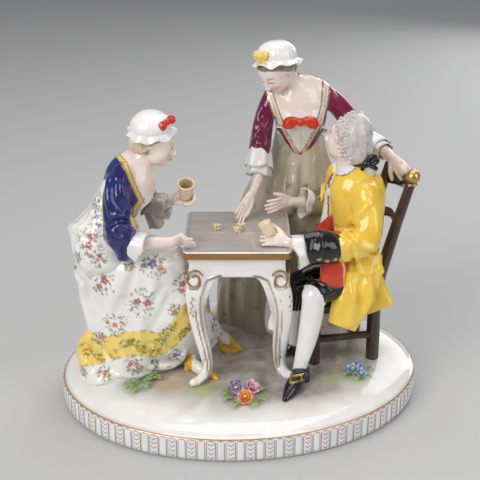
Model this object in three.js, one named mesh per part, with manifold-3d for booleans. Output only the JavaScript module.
// A glazed porcelain group: a seated lady, a standing lady and a seated gentleman play dice
// round a small table, on an oval plinth. It is fired in one piece, so it is one solid.
// Millimetres. +X runs to the viewer's right, +Y away from the viewer and +Z up.
// The origin is the middle of the plinth's flat underside.
import * as THREE from "three";
import { mergeVertices } from "three/addons/utils/BufferGeometryUtils.js";
import Module from "manifold-3d";

const wasm = await Module();
wasm.setup();

// Driving dimensions
const PLINTH_LENGTH = 230;
const PLINTH_DEPTH = 189;
const PLINTH_TURN = THREE.MathUtils.degToRad(9);
const BAND_TOP = 15;
const GROUND = 22;
const TABLE_TOP = 109;
const TABLE_WIDTH = 66;
const TABLE_DEPTH = 71;
const TABLE_CENTRE = [-1.6, -1.5];
const SLAB_THICKNESS = 5;
const APRON_INSET = 4;
const APRON_BOTTOM = 91;
const LEG_INSET = 7.2;
const CHAIR_TURN = THREE.MathUtils.degToRad(12);
const CHAIR_REAR_LEG = [86, -5];
const CHAIR_DEPTH = 39;
const CHAIR_WIDTH = 40;
const SEAT_TOP = 66;
// How deep a form goes into the one that carries it, so that they fuse.
const BITE = 1;
// The skirts' hems reach down into the plinth's sloping shoulder.
const HEM_ROOT = 15.5;

const at = (x, y, z) => new THREE.Vector3(x, y, z);

// Turns a closed geometry into a solid with its faces pointing out.
function solid(geometry) {
  const bare = geometry.clone();
  bare.deleteAttribute("normal");
  bare.deleteAttribute("uv");
  const merged = mergeVertices(bare, 1e-4);
  const points = merged.attributes.position;
  const corners = new Uint32Array(merged.index.array);
  const [a, b, c] = [at(), at(), at()];
  let volume = 0;
  for (let i = 0; i < corners.length; i += 3) {
    a.fromBufferAttribute(points, corners[i]);
    b.fromBufferAttribute(points, corners[i + 1]);
    c.fromBufferAttribute(points, corners[i + 2]);
    volume += a.dot(b.cross(c));
  }
  if (volume < 0) corners.reverse();
  return new wasm.Manifold(
    new wasm.Mesh({ numProp: 3, vertProperties: points.array, triVerts: corners }),
  );
}

// A closed skin over rows of points. Each row goes once round the form.
function skin(first, rows, last) {
  const sides = rows[0].length;
  const shell = new THREE.SphereGeometry(1, sides, rows.length + 1);
  const points = shell.attributes.position;
  for (let row = 0; row <= rows.length + 1; row++) {
    for (let k = 0; k <= sides; k++) {
      const end = row === 0 ? first : last;
      const p = row === 0 || row > rows.length ? end : rows[row - 1][k % sides];
      points.setXYZ(row * (sides + 1) + k, p.x, p.y, p.z);
    }
  }
  return solid(shell);
}

// One row: an ellipse round centre with the half-axes wide and deep, swollen by shape(angle).
function ring(centre, wide, deep, sides, shape = () => 1) {
  return Array.from({ length: sides }, (_, k) => {
    const angle = (k / sides) * 2 * Math.PI;
    const swell = shape(angle);
    return centre
      .clone()
      .addScaledVector(wide, Math.cos(angle) * swell)
      .addScaledVector(deep, Math.sin(angle) * swell);
  });
}

// A form through stations [x, y, z, half width, half depth]. side is the way of its width.
// blunt is how far its ends bulge, as a share of the end's half thickness; at 0 they are flat.
function limb(stations, { sides = 6, steps = 1, side = at(0, 1, 0), blunt = 0.7 } = {}) {
  const path = new THREE.CatmullRomCurve3(stations.map(([x, y, z]) => at(x, y, z)));
  const girth = new THREE.CatmullRomCurve3(
    stations.map(([, , , wide, deep = wide]) => at(wide, deep, 0)),
  );
  const count = (stations.length - 1) * steps;
  const rows = [];
  const section = (t, share, shift) => {
    const along = path.getTangent(t);
    const across = side.clone().projectOnPlane(along).normalize();
    const out = along.clone().cross(across);
    const size = girth.getPoint(t);
    const centre = path.getPoint(t).addScaledVector(along, shift * Math.min(size.x, size.y));
    if (share > 0) {
      across.multiplyScalar(size.x * share);
      out.multiplyScalar(size.y * share);
      rows.push(ring(centre, across, out, sides));
    }
    return centre;
  };
  const round = blunt > 0.25;
  const first = section(0, round ? 0.7 : 0, -0.75 * blunt);
  for (let i = 0; i <= count; i++) section(i / count, 1, 0);
  const last = section(1, round ? 0.7 : 0, 0.75 * blunt);
  return skin(first, rows, last);
}

// Skirts and other forms that stand upright, from the hem up. Each level is
// [z, x, y, half length, half depth, taper towards +X, turn in degrees]; folds(angle, rise) swells it.
function drape(levels, sides, folds = () => 1) {
  const [low, high] = [levels[0], levels[levels.length - 1]];
  const rows = levels.map(([z, x, y, long, deep, taper = 0, turn = 0]) => {
    const heading = THREE.MathUtils.degToRad(turn);
    return Array.from({ length: sides }, (_, k) => {
      const angle = (k / sides) * 2 * Math.PI;
      const swell = folds(angle, (z - low[0]) / (high[0] - low[0]));
      const p = at(
        long * Math.cos(angle) * swell,
        deep * Math.sin(angle) * swell * (1 - taper * Math.cos(angle)),
        0,
      );
      return p.applyAxisAngle(at(0, 0, 1), heading).add(at(x, y, z));
    });
  });
  return skin(at(low[1], low[2], low[0]), rows, at(high[1], high[2], high[0]));
}

// An egg of three half-axes, turned so that its second axis points along up.
function egg(centre, radii, up = at(0, 0, 1), sides = 9, rows = 6) {
  const shape = new THREE.SphereGeometry(1, sides, rows);
  shape.scale(radii[0], radii[2], radii[1]);
  shape.applyQuaternion(
    new THREE.Quaternion().setFromUnitVectors(at(0, 1, 0), up.clone().normalize()),
  );
  shape.translate(...centre);
  return solid(shape);
}

function block(size, centre, turn = 0) {
  const box = new THREE.BoxGeometry(...size);
  box.rotateZ(turn);
  box.translate(...centre);
  return solid(box);
}

const join = (parts) => parts.reduce((whole, part) => whole.add(part));

// Plinth: an oval slab with an upright moulded band, a round shoulder and nearly flat ground.
function plinth() {
  const profile = [
    [1.2, 0],
    [0, 1.2],
    [0, BAND_TOP - 0.6],
    [1.4, BAND_TOP],
    [5, 17.4],
    [12, 20],
    [26, GROUND],
  ];
  const sides = 42;
  const axis = at(Math.cos(PLINTH_TURN), Math.sin(PLINTH_TURN), 0);
  const cross = at(-Math.sin(PLINTH_TURN), Math.cos(PLINTH_TURN), 0);
  const rows = profile.map(([inset, z]) =>
    ring(
      at(0, 0, z),
      axis.clone().multiplyScalar(PLINTH_LENGTH / 2 - inset),
      cross.clone().multiplyScalar(PLINTH_DEPTH / 2 - inset),
      sides,
    ),
  );
  return skin(at(0, 0, 0), rows, at(0, 0, GROUND + 0.3));
}

// Table: a square slab on an arched apron with four S-curved legs that turn out at the foot.
function table() {
  const [x, y] = TABLE_CENTRE;
  const slab = block(
    [TABLE_WIDTH, TABLE_DEPTH, SLAB_THICKNESS],
    [x, y, TABLE_TOP - SLAB_THICKNESS / 2],
  );
  const halfWidth = TABLE_WIDTH / 2 - APRON_INSET;
  const halfDepth = TABLE_DEPTH / 2 - APRON_INSET;
  const under = TABLE_TOP - SLAB_THICKNESS + 0.2;
  const board = 6;
  // One side of the apron: a board whose lower edge arches up between the legs.
  const apron = (half, turn, centre) => {
    const shape = new THREE.Shape();
    const knee = 13;
    const low = APRON_BOTTOM - 15;
    shape.moveTo(-half, under);
    shape.lineTo(-half, low);
    shape.lineTo(-half + knee, low);
    shape.quadraticCurveTo(-half + knee + 1, APRON_BOTTOM - 2, -half + knee + 7, APRON_BOTTOM);
    shape.lineTo(half - knee - 7, APRON_BOTTOM);
    shape.quadraticCurveTo(half - knee - 1, APRON_BOTTOM - 2, half - knee, low);
    shape.lineTo(half, low);
    shape.lineTo(half, under);
    const plate = new THREE.ExtrudeGeometry(shape, {
      depth: board,
      bevelEnabled: false,
      curveSegments: 2,
    });
    plate.translate(0, 0, -board);
    plate.rotateX(Math.PI / 2);
    plate.rotateZ(turn);
    plate.translate(...centre);
    return solid(plate);
  };
  const aprons = [
    apron(halfWidth, 0, [x, y - halfDepth, 0]),
    apron(halfWidth, Math.PI, [x, y + halfDepth, 0]),
    apron(halfDepth, Math.PI / 2, [x + halfWidth, y, 0]),
    apron(halfDepth, -Math.PI / 2, [x - halfWidth, y, 0]),
  ];
  // Outward push, height and half thickness of a leg, from the apron to the turned-out toe.
  const curve = [
    [-2.4, 100, 4.4],
    [-0.6, 89, 6.4],
    [0, 78, 6.4],
    [-0.3, 66, 5.4],
    [-1.8, 54, 4.8],
    [-3.4, 43, 4.2],
    [-4.2, 33, 3.3],
    [-2, 26, 3.1],
    [3, 23.6, 2.6],
  ];
  const legs = [];
  for (const [sx, sy] of [[-1, -1], [1, -1], [1, 1], [-1, 1]]) {
    const stations = curve.map(([push, z, thick]) => [
      x + sx * (TABLE_WIDTH / 2 - LEG_INSET + push),
      y + sy * (TABLE_DEPTH / 2 - LEG_INSET + push),
      z,
      thick,
    ]);
    legs.push(limb(stations, { side: at(sx, -sy, 0), blunt: 0.2 }));
  }
  return join([slab, ...aprons, ...legs]);
}

// Three dice on the table, where the players have thrown them.
function dice() {
  const size = 4.4;
  const z = TABLE_TOP + size / 2 - 0.3;
  return join([
    block([size, size, size], [-14.5, 0.5, z], 0.5),
    block([size, size, size], [-1.8, -4.6, z], 0.3),
    block([size, size, size], [0.6, 1.6, z], 0.9),
  ]);
}

// A dice beaker: a straight cup, hollow, standing along its axis from the middle of its foot.
function beaker(foot, axis) {
  const profile = [
    [0, 0],
    [4.4, 0],
    [4.9, 6],
    [5.6, 11.4],
    [4.4, 11.4],
    [3.6, 4],
    [0, 4],
  ].map(([r, z]) => new THREE.Vector2(r, z));
  const cup = new THREE.LatheGeometry(profile, 8);
  cup.applyQuaternion(
    new THREE.Quaternion().setFromUnitVectors(at(0, 1, 0), at(...axis).normalize()),
  );
  cup.translate(...foot);
  return solid(cup);
}

// A hand from the wrist to the fingertips, with the thumb standing off to one side.
function hand(wrist, knuckles, tips, thumb, side) {
  return join([
    limb([[...wrist, 2.5, 1.9], [...knuckles, 3.5, 1.6], [...tips, 1.9, 0.9]], { sides: 5, side, blunt: 0.2 }),
    limb([[...wrist, 1.5], [...thumb, 1.1]], { sides: 3, blunt: 0.2 }),
  ]);
}

// The folds of a skirt: deep round pleats that fade towards the waist.
const pleats = (count, depth, shift) => (angle, rise) =>
  1 + depth * (1 - rise) * (0.6 * Math.cos(count * angle + shift) + 0.4 * Math.cos((count + 4) * angle));

// Seated lady, in profile to the right: gown, sack back, jacket, arms, head and cap.
function seatedLady() {
  const gown = drape(
    [
      [HEM_ROOT, -70, -10, 34.5, 25, 0.85],
      [28, -64, -9, 43.5, 26, 0.7, 4],
      [34, -58, -9, 44, 25, 0.5, 10],
      [42, -54.5, -11, 42.5, 24, 0.25, 12],
      [56, -58, -14, 39.5, 23.5, 0.1, 6],
      [72, -63, -15, 36, 23],
      [87, -67, -15, 36, 24],
      [99, -69, -15, 35, 23.5],
      [105, -70, -15, 31, 19],
    ],
    24,
    pleats(7, 0.045, 0.6),
  );
  const sack = limb(
    [
      [-70, -16, 156, 12, 4],
      [-79, -15, 145, 15, 6],
      [-87, -15, 128, 18, 8],
      [-93, -15, 112, 21, 11],
      [-91, -15, 96, 21, 12],
    ],
    { sides: 7, blunt: 0.2 },
  );
  const bodice = limb(
    [
      [-77, -16, 108, 14, 12],
      [-71, -16, 130, 13.5, 12],
      [-66.5, -16.5, 142, 15, 15],
      [-66, -17, 150, 15, 13.5],
      [-62.5, -17, 159, 10, 8],
    ],
    { sides: 10, blunt: 0.2 },
  );
  const nearSleeve = limb([
    [-69, -28, 155, 7],
    [-73, -35, 146, 8],
    [-73, -39, 130, 7.8],
    [-72, -40, 116, 8.2],
  ]);
  const farSleeve = limb(
    [
      [-64, -3, 152, 7],
      [-60, 3, 138, 7],
      [-57, 4, 124, 7],
    ],
    { blunt: 0.2 },
  );
  const ruffles = join([
    limb([[-70, -40, 114, 8], [-59.5, -39.5, 114.5, 9.2]], { sides: 7, blunt: 0 }),
    limb([[-57, 4, 121, 7.5], [-48, 2, 124, 9]], { sides: 7, blunt: 0.2 }),
  ]);
  const forearms = join([
    limb([[-64, -39.5, 116, 4.2], [-51, -38, 115.8, 3.8], [-39, -35.5, 115.3, 2.9]], { sides: 6, blunt: 0 }),
    limb([[-51, 2.5, 124, 4], [-44, 1, 128, 3.4], [-38.5, -1, 130.5, 2.5]], { sides: 6, blunt: 0 }),
  ]);
  const hands = join([
    hand([-40, -35.8, 115.4], [-34, -33, 116], [-28, -31, 111.8], [-34, -28.5, 111], at(0, 1, 0)),
    hand([-40, -1, 130], [-36, -5, 132], [-30, -8, 136], [-37.5, 0, 137], at(0, 0.6, 1)),
  ]);
  const cup = beaker([-33.6, -2, 132.5], [0.05, -0.45, 0.88]);
  const neck = limb([[-63, -17, 153, 9], [-58.5, -17.5, 160, 6.6], [-55, -18, 167, 6]], { blunt: 0 });
  const up = at(0.3, 0, 0.95);
  const head = join([
    egg([-52, -18, 174.5], [12, 11, 13], up, 8, 5),
    egg([-46.5, -18, 167.5], [7.5, 8, 10], up, 7, 5),
    limb([[-41.8, -18, 170.5, 1.4], [-38.4, -18, 166.8, 1.7]], { sides: 4 }),
    egg([-61, -18, 170.5], [5.5, 8.5, 6.5], up, 6, 4),
  ]);
  const cap = join([
    egg([-52.5, -18, 181], [14, 13.5, 11], at(0.12, 0, 1), 11, 5),
    drape(
      [
        [174.5, -52, -18, 13, 12.5],
        [176, -52, -18, 15.2, 14.8],
        [179, -52.5, -18, 14, 14],
      ],
      12,
      (angle) => 1 + 0.03 * Math.cos(6 * angle),
    ),
    egg([-44, -26.5, 186], [4.4, 2.4, 3], at(0.9, 0, 1), 6, 4),
  ]);
  const shoes = join([
    limb([[-34, -23, 28, 3.4], [-28, -27, 26, 3.8], [-21, -31, 24, 3.6], [-16, -34.5, 23, 1.8]], { sides: 6 }),
    limb([[-22, 3, 42, 4.6], [-15, 2.5, 36, 4], [-7, 2, 30, 3.8], [0, 2, 24.5, 1.8]], { sides: 6 }),
    limb([[-12, 2.5, 32, 3.2], [-9, 2, 21, 3]], { sides: 5, blunt: 0 }),
  ]);
  return join([gown, sack, bodice, nearSleeve, farSleeve, ruffles, forearms, hands, cup, neck, head, cap, shoes]);
}

// Standing lady behind the table, leaning over it with one hand on the dice and one on the chair.
function standingLady() {
  const skirt = drape(
    [
      [HEM_ROOT, 29, 59, 43, 31],
      [45, 29, 59, 43.5, 30.5],
      [72, 31, 61, 41.5, 29],
      [98, 34, 62, 36.5, 26],
      [118, 36.5, 62, 31, 23],
      [132, 38.5, 60, 22.5, 17.5],
      [143, 39.5, 58, 15.5, 12],
    ],
    24,
    pleats(7, 0.045, 1.2),
  );
  const bodice = limb(
    [
      [39, 57, 140, 14.5, 11.5],
      [39, 55, 154, 15, 12],
      [39.5, 51.5, 168, 17, 13.5],
      [38.5, 50, 180, 17.5, 11.5],
      [37.5, 50, 189, 13.5, 7],
    ],
    { sides: 10, side: at(1, 0.15, 0), blunt: 0.3 },
  );
  const sleeves = join([
    limb([[23, 49, 187, 6], [17, 46, 173, 5.8], [14, 43, 161, 6.2], [13, 40, 149, 6.8]], { blunt: 0.2 }),
    limb([[50, 53, 186, 7], [63, 58, 174.6, 6.8], [72, 61, 163.6, 6.6], [83, 61.5, 152.4, 6.6]], { blunt: 0.2 }),
  ]);
  const ruffles = join([
    limb([[13, 40.5, 151, 7.4], [12, 37, 141.5, 9]], { sides: 7, blunt: 0.2 }),
    limb([[82, 62, 153.4, 7.4], [94, 59, 144.6, 8.6]], { sides: 7, blunt: 0.2 }),
  ]);
  const forearms = join([
    limb([[12.5, 38.5, 146, 4.2], [12, 32, 135, 3.6], [8.5, 26, 125.5, 2.6]], { sides: 6, blunt: 0 }),
    limb([[92, 59.5, 146, 4], [97, 56.5, 141, 3.6], [101.3, 53.5, 137.4, 2.7]], { sides: 6, blunt: 0 }),
  ]);
  const hands = join([
    hand([9, 26.5, 126], [3, 18.5, 118.5], [-1.4, 12, 111.2], [4, 16.5, 112.5], at(1, 0.3, 0)),
    hand([101, 53.8, 137.6], [106, 49, 133.8], [109, 44, 126.5], [100, 45, 126], at(1, 0.3, 0)),
  ]);
  const neck = limb([[38.5, 50, 184, 8.5], [35, 48, 190, 6.6], [30, 45.5, 198, 6]], { blunt: 0 });
  const up = at(0.2, 0.3, 0.93);
  const head = join([
    egg([23, 41, 204], [12, 12, 12.5], up, 8, 5),
    egg([20, 35.5, 199.5], [8.5, 8, 9], up, 7, 5),
    limb([[17.6, 29.6, 202, 1.4], [15.8, 27.4, 197.6, 1.7]], { sides: 4 }),
    egg([31, 48, 202], [6.5, 7, 6], up, 6, 4),
  ]);
  const cap = join([
    egg([22.5, 42.5, 210.5], [13.8, 14, 10.8], at(0.1, 0.1, 1), 11, 5),
    drape(
      [
        [204, 23.5, 42.5, 13, 13],
        [205.5, 23.5, 42.5, 16.2, 15.2],
        [208.5, 23.5, 42.5, 14.5, 14.2],
      ],
      12,
      (angle) => 1 + 0.03 * Math.cos(6 * angle),
    ),
    egg([11.5, 31.5, 212.5], [4, 2.6, 5.4], at(0.2, 0, 1), 6, 4),
  ]);
  const bow = limb(
    [
      [27.5, 39.5, 166.5, 3.2, 2.4],
      [38.7, 37.4, 168.4, 2.2, 2],
      [50, 40.5, 166.5, 3.2, 2.4],
    ],
    { sides: 6, side: at(0, 0, 1) },
  );
  return join([skirt, bodice, sleeves, ruffles, forearms, hands, neck, head, cap, bow]);
}

// Chair with turned posts, an arched crest rail, ball finials and side stretchers.
function chair() {
  const ahead = at(-Math.cos(CHAIR_TURN), -Math.sin(CHAIR_TURN), 0);
  const across = at(-Math.sin(CHAIR_TURN), Math.cos(CHAIR_TURN), 0);
  const corner = at(...CHAIR_REAR_LEG, 0);
  // A point of the chair, from the near rear leg: forwards, towards the far side, and up.
  const place = (forward, far, z) => {
    const p = corner.clone().addScaledVector(ahead, forward).addScaledVector(across, far);
    return [p.x, p.y, z];
  };
  const floor = GROUND - BITE;
  const parts = [];
  for (const far of [0, CHAIR_WIDTH]) {
    parts.push(
      limb(
        [
          [...place(0, far, floor), 4],
          [...place(0, far, 60), 4],
          [...place(-6, far, 92), 3.6],
          [...place(-20, far, 141), 3],
        ],
        { blunt: 0 },
      ),
      egg(place(-20.5, far, 144.4), [4.4, 4.4, 4.4], at(0, 0, 1), 7, 5),
      limb([[...place(CHAIR_DEPTH, far, floor), 3.4], [...place(CHAIR_DEPTH, far, SEAT_TOP - 2), 3.6]], {
        blunt: 0,
      }),
      limb([[...place(0, far, 39), 2.6], [...place(CHAIR_DEPTH, far, 39), 2.6]], { sides: 5, blunt: 0 }),
    );
  }
  const seat = place(CHAIR_DEPTH / 2, CHAIR_WIDTH / 2, SEAT_TOP - 3);
  parts.push(block([CHAIR_DEPTH + 9, CHAIR_WIDTH + 6, 8.4], seat, CHAIR_TURN));
  // Two cross rails bow backwards between the posts; the crest is the wider one.
  for (const [z, back, high] of [
    [135.5, -19, 5.5],
    [108, -12, 3.4],
  ]) {
    parts.push(
      limb(
        [
          [...place(back, 0.5, z), high, 1.8],
          [...place(back - 4, CHAIR_WIDTH / 2, z + 5), high, 1.8],
          [...place(back, CHAIR_WIDTH - 0.5, z), high, 1.8],
        ],
        { sides: 5, side: at(0, 0, 1), blunt: 0 },
      ),
    );
  }
  return join(parts);
}

// Seated gentleman, his back half turned: breeches, coat, arms, wig with its bow, legs and shoes.
function seatedGentleman() {
  const thighs = join([
    limb([[76, -6, 77, 10], [60, -18.5, 79.5, 9.2], [44.5, -28.5, 78, 7.4]], { blunt: 0.2 }),
    limb([[74, 12, 76, 10], [52, 4, 79, 8.4], [34, -3.5, 74, 6]], { blunt: 0.2 }),
  ]);
  const calves = join([
    limb([[45, -27.5, 80, 6], [44.5, -30, 66.5, 6.8], [42, -33, 51, 6.2], [36.6, -38, 30, 3.9]], { sides: 7, blunt: 0 }),
    limb([[36, -2, 76, 5.6], [36, -4, 63, 5.8], [34.6, -4.5, 49, 4.8], [35, -3.5, 32, 3.6]], { blunt: 0 }),
  ]);
  const shoes = join([
    limb([[39, -36, 30, 4.4], [36.5, -41.5, 28.3, 5], [32, -52, 25.5, 4.8], [27.5, -61.5, 23, 2]]),
    limb([[40.4, -36.5, 28, 3.2], [40.6, -37, 21.4, 2.8]], { sides: 5, blunt: 0 }),
    limb([[36, -2, 33, 4], [32, -4, 30, 4.2], [26, -4.5, 25.5, 3.8], [20.5, -4, 23.2, 1.8]], { sides: 6 }),
    limb([[36.6, -1.5, 29, 3], [36.6, -1.5, 21.4, 2.8]], { sides: 5, blunt: 0 }),
  ]);
  const coat = limb(
    [
      [75, 3, 69, 17, 14.5],
      [75, 3, 90, 16.5, 12],
      [76, 3, 106, 17, 13.2],
      [75.5, 4, 122, 18, 15],
      [73, 5, 135, 17, 13.5],
      [70.5, 7, 143.5, 10.5, 9],
    ],
    { sides: 8 },
  );
  // The coat's skirts hang over both sides of the seat and flare at the hem.
  const skirts = join([
    limb([[77, -13, 98, 11.5, 5], [75, -18, 86, 12.5, 6], [69, -24, 71, 12, 5.5], [63.5, -28, 56.5, 9.4, 3.6]], {
      side: at(1, 0, 0),
      blunt: 0.2,
    }),
    limb([[82, -3, 96, 7, 7], [83.5, -6, 83, 8.5, 6], [83.5, -9.5, 71, 10, 4.5], [87.6, -12.5, 60.5, 10.4, 2.8]], {
      side: at(1, 0, 0),
      blunt: 0.2,
    }),
    limb([[76, 17, 96, 13, 5], [74, 24, 76, 15, 5.5], [72, 28, 58, 15, 4]], { side: at(1, 0, 0), blunt: 0.2 }),
  ]);
  const sleeves = join([
    limb([[77, -8, 135, 9], [79.5, -15, 122, 9.5], [77, -19.5, 111, 9.6], [66, -23, 107, 8.8], [58, -25, 107.3, 9]], {
      blunt: 0.2,
    }),
    limb([[68, 20, 133, 8], [59, 28, 120, 8], [49, 31, 115.5, 7.6]], { blunt: 0.2 }),
  ]);
  const cuffs = join([
    limb([[59, -24.6, 107.4, 9.8], [50, -26, 108, 10.4], [42, -27.4, 107.6, 9.8]], { sides: 7, blunt: 0 }),
    limb([[42.5, -27.3, 107.6, 9], [34.6, -28.4, 107.6, 10.6]], { sides: 7, blunt: 0.2 }),
    limb([[52, 30.5, 115.5, 8.6], [44.5, 30, 116.4, 9]], { sides: 7, blunt: 0.2 }),
    limb([[45, 30, 116.4, 8], [39.4, 28, 117.4, 9.6]], { sides: 7, blunt: 0.2 }),
  ]);
  const hands = join([
    limb([[38, -28, 108.5, 4.4], [29, -27, 111.8, 3.2]], { sides: 6, blunt: 0 }),
    hand([30, -27.2, 111.5], [21.5, -24, 115.5], [17.5, -20.5, 124.5], [13.5, -26.5, 113.6], at(0.3, 0.6, 0.8)),
    limb([[42, 28.5, 117, 4], [33.5, 25, 118.8, 3]], { sides: 6, blunt: 0 }),
    hand([34.5, 25.4, 118.6], [26, 22, 119], [15.5, 18, 117.4], [22, 20.5, 125.5], at(0, 1, 0.5)),
  ]);
  const cup = beaker([19.2, -23.8, 114.6], [-0.47, -0.18, 0.87]);
  const neck = limb([[70, 8, 140, 8.6], [66.5, 10, 147, 7.2], [65, 11.5, 154, 6.4]], { blunt: 0 });
  const up = at(0.25, -0.05, 0.96);
  const head = join([
    egg([69.5, 9.5, 168], [12, 12.5, 15], up, 9, 6),
    egg([60, 15.5, 161], [8.6, 8.6, 11], up, 7, 5),
    limb([[54.5, 19.5, 165, 1.4], [51.6, 21.5, 161.6, 1.9]], { sides: 4 }),
    egg([71, 3.5, 160], [9.5, 8, 9.5], up, 7, 4),
    egg([77.5, 2, 153.2], [5.6, 4, 5.6], at(0.6, 0, 1), 7, 4),
    egg([80.5, 1.5, 146], [4, 3.8, 4.2], up, 7, 4),
  ]);
  return join([thighs, calves, shoes, coat, skirts, sleeves, cuffs, hands, cup, neck, head]);
}

// Posies of modelled blossoms and leaves laid on the ground: [x, y, half width of the blossom].
function posies() {
  const petal = new THREE.IcosahedronGeometry(1, 0);
  return join(
    [
      [-6, -48, 4.2],
      [6, -48, 4.6],
      [0, -54, 5],
      [-66, -38, 4.2],
      [-58, -35, 4],
      [75, -23, 5],
    ].map(([x, y, radius]) => {
      const head = petal.clone();
      head.scale(radius, radius, 3);
      head.translate(x, y, GROUND + 0.6);
      return solid(head);
    }),
  );
}

const whole = join([
  plinth(),
  table(),
  dice(),
  seatedLady(),
  standingLady(),
  chair(),
  seatedGentleman(),
  posies(),
]);

// The joined solid as one mesh.
function meshOf(manifold, name, material) {
  const { vertProperties, triVerts } = manifold.getMesh();
  const geometry = new THREE.BufferGeometry();
  geometry.setAttribute("position", new THREE.BufferAttribute(vertProperties, 3));
  geometry.setIndex(new THREE.BufferAttribute(triVerts, 1));
  geometry.computeVertexNormals();
  const mesh = new THREE.Mesh(geometry, material);
  mesh.name = name;
  return mesh;
}

const porcelain = new THREE.MeshStandardMaterial({ color: 0xf0ede8, roughness: 0.15, metalness: 0 });
const group = new THREE.Group();
group.add(meshOf(whole, "figure_group", porcelain));
export default group;
